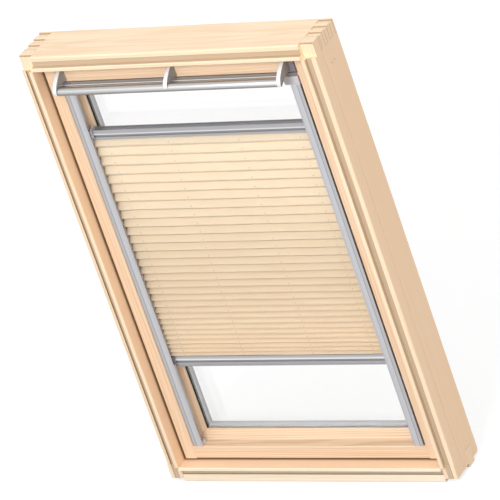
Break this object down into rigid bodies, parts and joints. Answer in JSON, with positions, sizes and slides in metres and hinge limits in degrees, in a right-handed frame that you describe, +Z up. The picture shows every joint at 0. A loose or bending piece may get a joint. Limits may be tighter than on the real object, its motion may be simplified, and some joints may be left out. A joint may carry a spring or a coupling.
{
  "type": "centre-pivot roof window with pleated blind",
  "caption": "Pine centre-pivot roof window with a ventilation flap, a control bar and a hand-moved pleated blind in side channels.",
  "frame": {"origin": "middle of the lower outer face of the frame, halfway through the frame's depth", "axes": "+X to the right as seen from the room, +Y from the room to the outside, +Z up the window"},
  "size_m": [0.78, 0.1501, 1.18],
  "materials": {
    "pine": "planed pine with a thin clear lacquer",
    "clear_glass": "clear float glass",
    "black_rubber": "matt black sealing profile",
    "aluminium": "satin anodised extrusion",
    "steel": "zinc-plated steel",
    "grey_plastic": "moulded light grey plastic",
    "dark_plastic": "moulded dark grey plastic",
    "pleated_cloth": "stiffened pleated polyester, cream"
  },
  "bodies": {
    "frame": {"frame_bottom": "pine", "frame_left": "pine", "frame_right": "pine", "frame_top": "pine", "pivot_plate_left": "steel", "pivot_plate_right": "steel", "weather_seal": "black_rubber", "striker_plate": "steel"},
    "sash": {"air_filter": "dark_plastic", "channel_cap_left": "grey_plastic", "channel_cap_right": "grey_plastic", "channel_clip_left_lower": "steel", "channel_clip_left_upper": "steel", "channel_clip_right_lower": "steel", "channel_clip_right_upper": "steel", "channel_foot_left": "grey_plastic", "channel_foot_right": "grey_plastic", "flap_hinge_cover_left": "grey_plastic", "flap_hinge_cover_right": "grey_plastic", "glass_spacer": "aluminium", "glazing_bead_bottom": "aluminium", "glazing_bead_left": "aluminium", "glazing_bead_right": "aluminium", "glazing_bead_top": "aluminium", "inner_gasket": "black_rubber", "inner_pane": "clear_glass", "lock_case": "steel", "outer_gasket": "black_rubber", "outer_pane": "clear_glass", "pivot_arm_left": "steel", "pivot_arm_right": "steel", "pleated_cloth": "pleated_cloth", "sash_bottom": "pine", "sash_left": "pine", "sash_right": "pine", "sash_top": "pine", "side_channel_left": "aluminium", "side_channel_right": "aluminium"},
    "flap_and_bar": {"ventilation_flap": "pine", "flap_end_cap_left": "grey_plastic", "flap_end_cap_right": "grey_plastic", "bar_bracket_left": "aluminium", "bar_bracket_centre": "aluminium", "bar_bracket_right": "aluminium", "control_bar": "aluminium"},
    "latch": {"latch_tongue": "steel"},
    "upper_rail": {"top_rail": "aluminium", "top_rail_glide_left": "dark_plastic", "top_rail_glide_right": "dark_plastic"},
    "lower_rail": {"bottom_rail": "aluminium", "bottom_rail_glide_left": "dark_plastic", "bottom_rail_glide_right": "dark_plastic"}
  },
  "joints": [
    {"name": "sash_pivot", "type": "hinge", "parent": "frame", "child": "sash", "pos_m": [0, 0.0125, 0.595], "axis": [1, 0, 0], "range_deg": [0, 160]},
    {"name": "flap_hinge", "type": "hinge", "parent": "sash", "child": "flap_and_bar", "pos_m": [0, -0.0245, 1.11], "axis": [1, 0, 0], "range_deg": [0, 25]},
    {"name": "latch_slide", "type": "slide", "parent": "sash", "child": "latch", "axis": [0, 0, 1], "range_m": [0, 0.012]},
    {"name": "upper_rail_slide", "type": "slide", "parent": "sash", "child": "upper_rail", "axis": [0, 0, 1], "range_m": [-0.172, 0.098], "deforming": ["pleated_cloth"]},
    {"name": "lower_rail_slide", "type": "slide", "parent": "sash", "child": "lower_rail", "axis": [0, 0, 1], "range_m": [-0.213, 0.175], "deforming": ["pleated_cloth"]}
  ]
}
